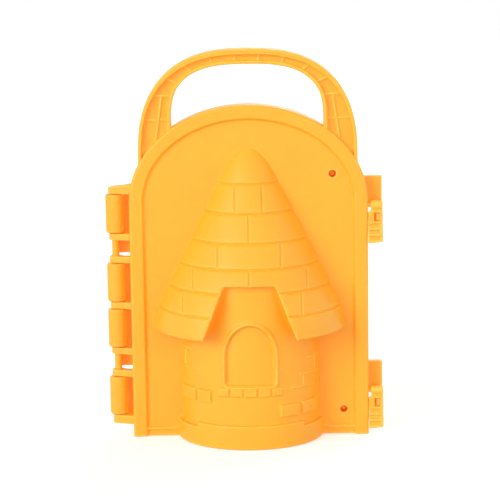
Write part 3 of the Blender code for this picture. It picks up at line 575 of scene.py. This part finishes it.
cavity = sweep("cavity", roof_profile(WALL, EAVE + WALL), *HOLLOW_SWEEP)
carve(cavity, loft("porch_wall", [porch_flat(WALL, depth) for depth in PORCH_DEPTHS]))
carve(cavity, drum("bore", BODY_RADIUS - WALL, *BORE_ENDS, *BORE_SWEEP), operation="UNION")
aside, under, over = SPACE
other_half = block("other_half", (-aside, -PARTING, under), (aside, aside, over))
base = block("base", (-aside, -aside, under), (aside, aside, 0.0))
half = carve(panel, foot_rib, handle, *handle_ribs, operation="UNION")
carve(half, carve(tower, *relief, operation="UNION"), operation="UNION")
carve(half, cavity, other_half, base)


def mirrored(name, solid):
    """The same walls for the rear half."""
    other = bmesh.new()
    other.from_mesh(solid.data)
    bmesh.ops.scale(other, vec=(1, -1, 1), verts=other.verts)
    bmesh.ops.reverse_faces(other, faces=other.faces)
    return solid_from(name, other)


rear_walls = mirrored("rear_walls", half)

# Hinge at the left: lugs of the front half and barrels of the rear half in turn, moulded with
# the halves and bored for one long pin. The barrels stand on flat leaves that run on behind
# the lugs, two of them further.
HINGE_X = -51.35
LEFT_EDGE = AXIS_X - PANEL_REACH
HINGE_MIDDLE = 53.2
BORE_RADIUS = 1.75
LUG_RADIUS = 2.5
LUG_ROUND = 0.3
# Arc of a lug round the pin, as its start and its sweep in degrees and its steps
LUG_ARC = (50, 212, 32)
LUG_FRONT = 5.0
LUG_HEEL = 3.75
LUG = 2.6
BARREL = 16.0
BARREL_RADIUS = 3.65
BARREL_CHAMFER = 0.45
BARREL_SIDES = 64
LUG_SPACE = 6.5
TOP_LUG = 4.4
FOOT_LUG = 3.5
TOP_LUG_FALL = 2.1
# The slope on the top lug starts inside the rim and ends past the lug
SLOPE_START = 3.0
SLOPE_PAST = 1.0
# How far lugs and leaves run into the rim
RIM_BITE = 1.4
# Leaves: their two depths, and how far by turns they run on below their barrel
LEAF = (2.8, 5.0)
LEAF_DROP = 9.0
LEAF_TAIL = 1.6
LEAF_ROUND = 0.4
# Play between pieces that move
PLAY = 0.3
BORE_PAST = 1.0
BARREL_BORE = (-5.0, 130.0)

lug_spans = [[HINGE_MIDDLE - LUG / 2, HINGE_MIDDLE + LUG / 2]]
barrel_spans = []
for way in (-1, 1):
    first = LUG / 2 + BARREL
    second = first + LUG + LUG_SPACE
    last = second + LUG + BARREL
    for near, thick in ((first, LUG), (second, LUG), (last, TOP_LUG if way > 0 else FOOT_LUG)):
        lug_spans.append(sorted((HINGE_MIDDLE + way * near, HINGE_MIDDLE + way * (near + thick))))
    for near in (LUG / 2, second + LUG):
        barrel_spans.append(sorted((HINGE_MIDDLE + way * near, HINGE_MIDDLE + way * (near + BARREL))))
lug_spans.sort()
barrel_spans.sort()

rim_line = LEFT_EDGE + RIM_BITE
lug_line = [(rim_line, -LUG_FRONT), (rim_line, -PLAY), (HINGE_X + LUG_HEEL, -PLAY)]
arc_start, arc_sweep, arc_steps = LUG_ARC
for step in range(arc_steps + 1):
    turn = math.radians(arc_start + arc_sweep * step / arc_steps)
    lug_line.append((HINGE_X + LUG_RADIUS * math.cos(turn), LUG_RADIUS * math.sin(turn)))
lugs = []
for i, (low, high) in enumerate(lug_spans):
    rings = []
    for end in (low, high):
        fall = TOP_LUG_FALL if i == len(lug_spans) - 1 and end == high else 0.0
        high_end = LEFT_EDGE + SLOPE_START
        run = high_end - (HINGE_X - LUG_RADIUS - SLOPE_PAST)
        rings.append([(x, y, end - fall * (high_end - x) / run) for x, y in lug_line])
    lugs.append(soften(loft("lug_%d" % i, rings), LUG_ROUND, segments=2))
pin_top = lug_spans[-1][0] + LUG / 2
bore_ends = (HINGE_X, 0, lug_spans[0][0] - BORE_PAST), (HINGE_X, 0, pin_top + PLAY)
for lug in lugs:
    carve(lug, rod("lug_bore", *bore_ends, BORE_RADIUS))

barrels = []
for i, (low, high) in enumerate(barrel_spans):
    ends = (HINGE_X, 0, low + PLAY), (HINGE_X, 0, high - PLAY)
    barrel = rod("barrel_%d" % i, *ends, BARREL_RADIUS, BARREL_SIDES, BARREL_CHAMFER)
    drop = LEAF_DROP if i % 2 else LEAF_TAIL
    leaf_low = (HINGE_X + PLAY, LEAF[0], low + 2 * PLAY - drop)
    leaf_high = (rim_line, LEAF[1], high - 2 * PLAY)
    carve(barrel, block("leaf", leaf_low, leaf_high, LEAF_ROUND), operation="UNION")
    carve(barrel, rod("barrel_bore", *[(HINGE_X, 0, z) for z in BARREL_BORE], BORE_RADIUS))
    barrels.append(barrel)

# Catches at the right edge, moulded with the rear half: flat tabs, each with a tongue below
# and a stud that the lever hooks over. The front half has a round seat for a cross pin there.
RIGHT_EDGE = AXIS_X + PANEL_REACH
CLASP_END = 55.0
# Heights of the two pivots, and how far they lie before the parting plane
LATCHES = {"upper": 92.75, "lower": 17.55}
PIVOT_DEPTH = 4.0
# Lever's window, in which the stud shows: its left and right, its foot and top from the pivot
WINDOW = (51.5, 54.0, -6.5, -2.9)
# Tab: how far it runs into the rim, its two depths, and its foot and top from the pivot
TAB_BITE = 3.0
TAB_DEPTHS = (0.3, 3.1)
TAB_ENDS = (-1.5, 11.1)
TAB_ROUND = 0.3
TONGUE_DEPTHS = (0.45, 2.95)
TONGUE_DROP = 8.3
TONGUE_ROUND = 0.35
# Stud: its width, how far it stands past the pivot and into the tongue, and its play in the window
STUD_WIDTH = 1.2
STUD_FRONT = 1.0
STUD_BACK = 1.6
STUD_PLAY = 0.45
STUD_ROUND = 0.2
# Cross pin's seat: its radius, its depth in the rim and how far outside the rim its cut starts
SEAT_RADIUS = 1.1
SEAT_DEPTH = 3.9
SEAT_MOUTH = 2.0
SEAT_SIDES = 32

catches = []
holes = []
for place, height in LATCHES.items():
    left, right, bottom, top = WINDOW
    tab_low = (RIGHT_EDGE - TAB_BITE, TAB_DEPTHS[0], height + TAB_ENDS[0])
    tab_high = (CLASP_END, TAB_DEPTHS[1], height + TAB_ENDS[1])
    catches.append(block(place + "_tab", tab_low, tab_high, TAB_ROUND))
    tongue_low = (left - PLAY, TONGUE_DEPTHS[0], height - TONGUE_DROP)
    tongue_high = (right + PLAY, TONGUE_DEPTHS[1], height)
    catches.append(block(place + "_tongue", tongue_low, tongue_high, TONGUE_ROUND))
    stud_low = (right - PLAY - STUD_WIDTH, -PIVOT_DEPTH - STUD_FRONT, height + bottom + STUD_PLAY)
    stud_high = (right - PLAY, STUD_BACK, height + top - STUD_PLAY)
    catches.append(block(place + "_stud", stud_low, stud_high, STUD_ROUND))
    seat_end = (RIGHT_EDGE - SEAT_DEPTH, -PIVOT_DEPTH, height)
    seat_mouth = (RIGHT_EDGE + SEAT_MOUTH, -PIVOT_DEPTH, height)
    holes.append(rod("pin_seat", seat_end, seat_mouth, SEAT_RADIUS, SEAT_SIDES))

# The two mouldings, each a single shot of plastic: the front half has the lugs, the pin seats
# and two round sockets, into which the pegs of the rear half reach from behind.
PEG_HOLES = [(33.3, 105.4), (37.4, 10.0)]
# Each hole, socket and peg: its two depths and its radius
PEG_HOLE = (-9.0, 0.0, 1.5)
SOCKET = (-3.5, -0.3, 2.7)
SOCKET_BORE = (-9.0, 1.0, 1.5)
PEG = (-1.3, 3.5, 1.2)
HOLE_SIDES = 40
PEG_SIDES = 32
PEG_CHAMFER = 0.25
PLASTIC_IOR = 1.49
SMOOTH_ANGLE = 38
MILLIMETRE = 0.001


def across(name, place, form, sides, chamfer=0.0):
    """Rod from front to back at a place of the panel."""
    x, z = place
    front, back, radius = form
    return rod(name, (AXIS_X + x, front, z), (AXIS_X + x, back, z), radius, sides, chamfer)


pegs = []
sockets = []
for place in PEG_HOLES:
    holes.append(across("peg_hole", place, PEG_HOLE, HOLE_SIDES))
    pegs.append(across("peg", place, PEG, PEG_SIDES, PEG_CHAMFER))
    sockets.append(across("socket", place, SOCKET, HOLE_SIDES))
    carve(sockets[-1], across("socket_bore", place, SOCKET_BORE, HOLE_SIDES))
front_moulding = carve(half, *lugs, *sockets, operation="UNION")
carve(front_moulding, *holes)
rear_moulding = carve(rear_walls, *barrels, *catches, *pegs, operation="UNION")


def linear(code):
    """Linear colour of an sRGB hex value."""
    parts = [int(code[i : i + 2], 16) / 255 for i in (1, 3, 5)]
    return tuple(c / 12.92 if c <= 0.04045 else ((c + 0.055) / 1.055) ** 2.4 for c in parts) + (1.0,)


def add(tree, kind, settings=None, links=None, **fields):
    """Adds a node with its fields, socket values and incoming links."""
    node = tree.nodes.new(kind)
    for field, value in fields.items():
        setattr(node, field, value)
    for socket, value in (settings or {}).items():
        node.inputs[socket].default_value = value
    for socket, source in (links or {}).items():
        tree.links.new(source, node.inputs[socket])
    return node


# Moulded polypropylene: a saturated warm yellow with some subsurface scatter. The light that the plastic
# lets through is painted: a painted highlight in the base colour of its thin rims, painted shade in its
# holes, and a painted emission that glows red in shade and orange in deep folds. The mould leaves a fine
# satin grain.
plastic = bpy.data.materials.new("moulded_polypropylene_yellow")
plastic.use_nodes = True
tree = plastic.node_tree
shader = tree.nodes["Principled BSDF"]
shader.inputs["Metallic"].default_value = 0.0
shader.inputs["IOR"].default_value = PLASTIC_IOR
shader.inputs["Subsurface Weight"].default_value = 0.5
shader.inputs["Subsurface Radius"].default_value = (1.0, 0.5, 0.2)
shader.inputs["Subsurface Scale"].default_value = 0.0006
where = add(tree, "ShaderNodeTexCoord").outputs["Object"]
# Slight clouds of pigment, about 25 mm wide
clouds = add(tree, "ShaderNodeTexNoise", {"Scale": 40.0, "Detail": 3.0}, {"Vector": where})
tint = add(tree, "ShaderNodeValToRGB", links={"Fac": clouds.outputs["Fac"]})
tint.color_ramp.elements[0].position = 0.3
tint.color_ramp.elements[0].color = linear("#FCB428")
tint.color_ramp.elements[1].position = 0.7
tint.color_ramp.elements[1].color = linear("#FEB82C")
# Painted highlight: rims, ribs and edges about a millimetre thick get a paler base colour, for the light
# that thin plastic lets through
within = {"samples": 8, "inside": True, "only_local": True}
thick = add(tree, "ShaderNodeAmbientOcclusion", {"Distance": 0.0008}, **within)
thin = add(
    tree,
    "ShaderNodeMapRange",
    {"From Min": 1.0, "From Max": 0.2, "To Max": 1.0},
    {"Value": thick.outputs["AO"]},
)
colour = add(
    tree,
    "ShaderNodeMixRGB",
    {"Color2": linear("#FFDC64")},
    {"Fac": thin.outputs["Result"], "Color1": tint.outputs["Color"]},
)
# Painted shade: in holes the base colour is painted a deep orange, for light that bounces many times there
open_air = add(tree, "ShaderNodeAmbientOcclusion", {"Distance": 0.004}, samples=8)
hole = add(
    tree,
    "ShaderNodeMapRange",
    {"From Min": 0.22, "From Max": 0.1, "To Max": 0.75},
    {"Value": open_air.outputs["AO"]},
)
colour_with_painted_hole_shade = add(
    tree,
    "ShaderNodeMixRGB",
    {"Color2": linear("#C04A04")},
    {"Fac": hole.outputs["Result"], "Color1": colour.outputs["Color"]},
)
tree.links.new(colour_with_painted_hole_shade.outputs["Color"], shader.inputs["Base Color"])
# Painted glow: an emission for light through the walls, a faint red everywhere that shows in shade, and an
# orange glow in folds
glow = add(tree, "ShaderNodeValToRGB", links={"Fac": open_air.outputs["AO"]})
glow.color_ramp.elements[0].color = linear("#581400")
glow.color_ramp.elements[1].position = 0.6
glow.color_ramp.elements[1].color = linear("#580400")
glow.color_ramp.elements.new(0.12).color = linear("#6E1C02")
glow.color_ramp.elements.new(0.28).color = linear("#A0601C")
shader.inputs["Emission Strength"].default_value = 1.0
tree.links.new(glow.outputs["Color"], shader.inputs["Emission Color"])
# Edges rounded to about 0.5 mm by the mould
rims = add(tree, "ShaderNodeBevel", {"Radius": 0.0005}, samples=6)
# Satin grain of the mould, about 0.4 mm, which breaks up the shine a little
grain = add(tree, "ShaderNodeTexNoise", {"Scale": 2500.0, "Detail": 2.0}, {"Vector": where})
satin = add(tree, "ShaderNodeMapRange", {"To Min": 0.40, "To Max": 0.52}, {"Value": grain.outputs["Fac"]})
tree.links.new(satin.outputs["Result"], shader.inputs["Roughness"])
relief_bump = add(
    tree,
    "ShaderNodeBump",
    {"Strength": 0.12, "Distance": 0.00004},
    {"Height": grain.outputs["Fac"], "Normal": rims.outputs["Normal"]},
)
tree.links.new(relief_bump.outputs["Normal"], shader.inputs["Normal"])


def drop_flaps(solid):
    """Takes out pairs of faces that lie on each other, which cuts at a flat angle can leave."""
    shape = bmesh.new()
    shape.from_mesh(solid.data)
    bmesh.ops.remove_doubles(shape, verts=shape.verts, dist=WELD)
    same = {}
    for face in shape.faces:
        same.setdefault(frozenset(face.verts), []).append(face)
    flaps = [face for faces in same.values() if len(faces) > 1 for face in faces]
    bmesh.ops.delete(shape, geom=flaps, context="FACES")
    shape.to_mesh(solid.data)
    shape.free()


def finish_piece(name, solid, body_name, node):
    """Scales a piece to metres, gives it the plastic and puts it on its body."""
    solid.name = name
    drop_flaps(solid)
    solid.data.transform(Matrix.Scale(MILLIMETRE, 4))
    solid.data.materials.clear()
    solid.data.materials.append(plastic)
    solid.data.shade_smooth()
    solid.data.set_sharp_from_angle(angle=math.radians(SMOOTH_ANGLE))
    even = solid.modifiers.new("even_normals", "WEIGHTED_NORMAL")
    even.keep_sharp = True
    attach(solid, body_name)
    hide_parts(node)


finish_piece("rear_moulding", rear_moulding, "rear_half", "rear_shell")
finish_piece("front_moulding", front_moulding, "front_half", "front_shell")

# Hinge pin: a plain rod of the same plastic, pushed from below through all lugs and barrels. It
# ends inside the top lug and shows bare in the two wide gaps between lugs.
PIN_RADIUS = 1.45
PIN_SIDES = 40
PIN_CHAMFER = 0.3

pin_ends = (HINGE_X, 0, lug_spans[0][0] + PLAY), (HINGE_X, 0, pin_top)
hinge_pin = rod("hinge_rod", *pin_ends, PIN_RADIUS, PIN_SIDES, PIN_CHAMFER)
finish_piece("hinge_rod", hinge_pin, "rear_half", "hinge_pin")

# Latch levers of the same plastic: each swings on a short cross pin, a plain rod that is pushed
# into the front half's seat. A window in the lever goes over the stud, and three grooves give grip.
LEVER_GAP = 0.04
LEVER_ROUND = 0.3
# Lever's outline as depth and height from the pivot, and how far its foot slants up to the right
LEVER_LINE = [(0.0, -1.95), (-2.0, -1.95), (-2.0, -6.7), (-2.35, -8.4), (-3.8, -15.0)]
LEVER_LINE += [(-1.8, -15.0), (-0.35, -8.4), (0.0, -6.7)]
FOOT_SLANT = 0.6
# Eye round the cross pin, a slot away from the rim, and the neck that joins it to the lever
EYE_SLOT = 1.1
EYE_RADIUS = 1.75
EYE_SIDES = 40
EYE_CHAMFER = 0.3
NECK_FRONT = 1.0
NECK_DROP = 2.4
NECK_SHORT = 0.05
# Cut of the window before and behind the pivot
WINDOW_CUT = (-4.0, 2.0)
WINDOW_ROUND = 0.2
# Notch beside the eye: its width, its heights and depths from the pivot
NOTCH = 0.9
NOTCH_ENDS = (-2.7, 2.0)
NOTCH_CUT = (-4.0, 2.5)
# Grip: its grooves start at the bend of the lever and lean with it, as far out and down as given
GRIP_BEND = (-2.0, -6.7)
GRIP_LEAN = (1.8, 8.3)
GRIP_GROOVES = 3
GRIP_START = 0.5
GRIP_PITCH = 2.5
GROOVE_HEIGHT = 1.6
GROOVE_CUT = (-1.5, 0.95)
GROOVE_SHORT = 1.0
GROOVE_ROUND = 0.3
# How far a cut runs past the edge
CUT_PAST = 1.0
# Cross pin, and how deep it sits in the rim
CROSS_PIN_RADIUS = 0.8
CROSS_PIN_DEPTH = 3.6
CROSS_PIN_CHAMFER = 0.2
CROSS_PIN_SIDES = 32

for place, height in LATCHES.items():
    left, right, bottom, top = WINDOW
    line = [(-PIVOT_DEPTH + y, height + z) for y, z in LEVER_LINE]
    rings = [[(RIGHT_EDGE + LEVER_GAP, y, z) for y, z in line]]
    lever_foot = min(z for y, z in LEVER_LINE)
    slants = [FOOT_SLANT if z == lever_foot else 0.0 for y, z in LEVER_LINE]
    rings.append([(CLASP_END, y, z + slant) for (y, z), slant in zip(line, slants)])
    lever = soften(loft(place + "_lever", rings), LEVER_ROUND)
    pivot = [(RIGHT_EDGE + EYE_SLOT, -PIVOT_DEPTH, height), (CLASP_END, -PIVOT_DEPTH, height)]
    neck_low = (RIGHT_EDGE + EYE_SLOT + PLAY, -PIVOT_DEPTH - NECK_FRONT, height - NECK_DROP)
    neck = block("neck", neck_low, (CLASP_END - NECK_SHORT, -PIVOT_DEPTH - PLAY, height))
    carve(lever, rod("eye", *pivot, EYE_RADIUS, EYE_SIDES, EYE_CHAMFER), neck, operation="UNION")

    seat_end = (RIGHT_EDGE - SEAT_DEPTH, -PIVOT_DEPTH, height)
    cuts = [rod("eye_bore", seat_end, (CLASP_END + CUT_PAST, -PIVOT_DEPTH, height), SEAT_RADIUS, SEAT_SIDES)]
    notch_low = (RIGHT_EDGE - CUT_PAST, -PIVOT_DEPTH + NOTCH_CUT[0], height + NOTCH_ENDS[0])
    notch_high = (RIGHT_EDGE + NOTCH, -PIVOT_DEPTH + NOTCH_CUT[1], height + NOTCH_ENDS[1])
    cuts.append(block("notch", notch_low, notch_high, WINDOW_ROUND))
    window_low = (left, -PIVOT_DEPTH + WINDOW_CUT[0], height + bottom)
    window_high = (right, -PIVOT_DEPTH + WINDOW_CUT[1], height + top)
    cuts.append(block("window", window_low, window_high, WINDOW_ROUND))
    bend = Matrix.Translation((0, -PIVOT_DEPTH + GRIP_BEND[0], height + GRIP_BEND[1]))
    tilt = bend @ Matrix.Rotation(-math.atan2(*GRIP_LEAN), 4, "X")
    for i in range(GRIP_GROOVES):
        under = -GRIP_START - i * GRIP_PITCH
        groove_low = (RIGHT_EDGE - CUT_PAST, GROOVE_CUT[0], under - GROOVE_HEIGHT)
        groove_high = (CLASP_END - GROOVE_SHORT, GROOVE_CUT[1], under)
        groove = block("groove", groove_low, groove_high, GROOVE_ROUND)
        groove.data.transform(tilt)
        cuts.append(groove)
    carve(lever, *cuts)
    finish_piece(place + "_lever", lever, place + "_latch", place + "_latch")

    pin_ends = [(x, -PIVOT_DEPTH, height) for x in (RIGHT_EDGE - CROSS_PIN_DEPTH, CLASP_END - PLAY)]
    cross_pin = rod(place + "_cross_pin", *pin_ends, CROSS_PIN_RADIUS, CROSS_PIN_SIDES, CROSS_PIN_CHAMFER)
    finish_piece(place + "_cross_pin", cross_pin, "front_half", place + "_latch_pin")

# Studio: a plain sheet of white paper that runs out of sight, a key light from the upper
# left, a broad soft light in front, a weak one from the right, one behind that shines
# through the rims, and the camera of the photograph.

# Floor, in metres, a hair below the object
FLOOR_SIZE = 3.0
FLOOR_DROP = 0.0002
# Strength of the surroundings on the object, at the horizon and overhead
WALL_LIGHT = 0.76
CEILING_LIGHT = 0.30
# Each lamp: where it stands as seen from the object, its strength and how wide it spreads
LAMPS = {
    "key": ((-0.66, -0.66, 0.32), 1.45, 32.0),
    "front": ((0.0, -0.95, 0.3), 0.9, 80.0),
    "fill": ((0.9, -0.35, 0.2), 0.45, 60.0),
    "back": ((0.45, 0.85, 0.3), 1.3, 60.0),
}
# Camera, fitted to the photograph: lens, sensor and place, and its aim, tilt and roll in degrees
LENS = 136.5
SENSOR = 36.0
CAMERA_PLACE = (0.0049, -0.7481, 0.1955)
CAMERA_AIM = 0.20
CAMERA_TILT = -9.18
CAMERA_ROLL = -0.78


def seen_rays(tree):
    """1 for rays that show the background: to the camera, in a reflection or through glass."""
    path = add(tree, "ShaderNodeLightPath")
    share = path.outputs["Is Camera Ray"]
    for ray in ("Is Glossy Ray", "Is Transmission Ray"):
        both = {0: share, 1: path.outputs[ray]}
        share = add(tree, "ShaderNodeMath", links=both, operation="MAXIMUM").outputs[0]
    return share


floor_mesh = bmesh.new()
bmesh.ops.create_grid(floor_mesh, x_segments=1, y_segments=1, size=FLOOR_SIZE)
floor = solid_from("floor", floor_mesh)
floor.location.z = -FLOOR_DROP
# White paper: matt, and lit so that it melts into the background
paper = bpy.data.materials.new("white_paper")
paper.use_nodes = True
tree = paper.node_tree
sheet = tree.nodes["Principled BSDF"]
sheet.inputs["Base Color"].default_value = linear("#D4D4D4")
sheet.inputs["Roughness"].default_value = 0.9
sheet.inputs["Emission Color"].default_value = (0.52, 0.52, 0.52, 1.0)
tree.links.new(seen_rays(tree), sheet.inputs["Emission Strength"])
floor.data.materials.append(paper)

# White to the camera; to the object, bright walls under a dimmer ceiling
world = bpy.data.worlds.new("studio")
world.use_nodes = True
tree = world.node_tree
around = add(tree, "ShaderNodeTexCoord")
upward = add(tree, "ShaderNodeSeparateXYZ", links={"Vector": around.outputs["Generated"]})
ends = {"To Min": WALL_LIGHT, "To Max": CEILING_LIGHT}
level = add(tree, "ShaderNodeMapRange", ends, {"Value": upward.outputs["Z"]})
sources = {"Factor": seen_rays(tree), "A": level.outputs["Result"]}
white = add(tree, "ShaderNodeMix", {"B": 1.0}, sources)
tree.nodes["Background"].inputs["Color"].default_value = (1.0, 1.0, 1.0, 1.0)
tree.links.new(white.outputs["Result"], tree.nodes["Background"].inputs["Strength"])
bpy.context.scene.world = world

for place, (towards, strength, spread) in LAMPS.items():
    lamp = bpy.data.lights.new(place, "SUN")
    lamp.energy = strength
    lamp.angle = math.radians(spread)
    light = bpy.data.objects.new(place, lamp)
    light.rotation_euler = Vector(towards).to_track_quat("Z", "Y").to_euler()
    bpy.context.scene.collection.objects.link(light)

lens = bpy.data.cameras.new("camera")
lens.lens = LENS
lens.sensor_width = SENSOR
camera = bpy.data.objects.new("camera", lens)
aim = Matrix.Rotation(math.radians(CAMERA_AIM), 4, "Z")
aim @= Matrix.Rotation(math.radians(90 + CAMERA_TILT), 4, "X")
aim @= Matrix.Rotation(math.radians(CAMERA_ROLL), 4, "Z")
camera.matrix_world = Matrix.Translation(CAMERA_PLACE) @ aim
bpy.context.scene.collection.objects.link(camera)
bpy.context.scene.camera = camera

bpy.context.scene.view_settings.view_transform = "Standard"
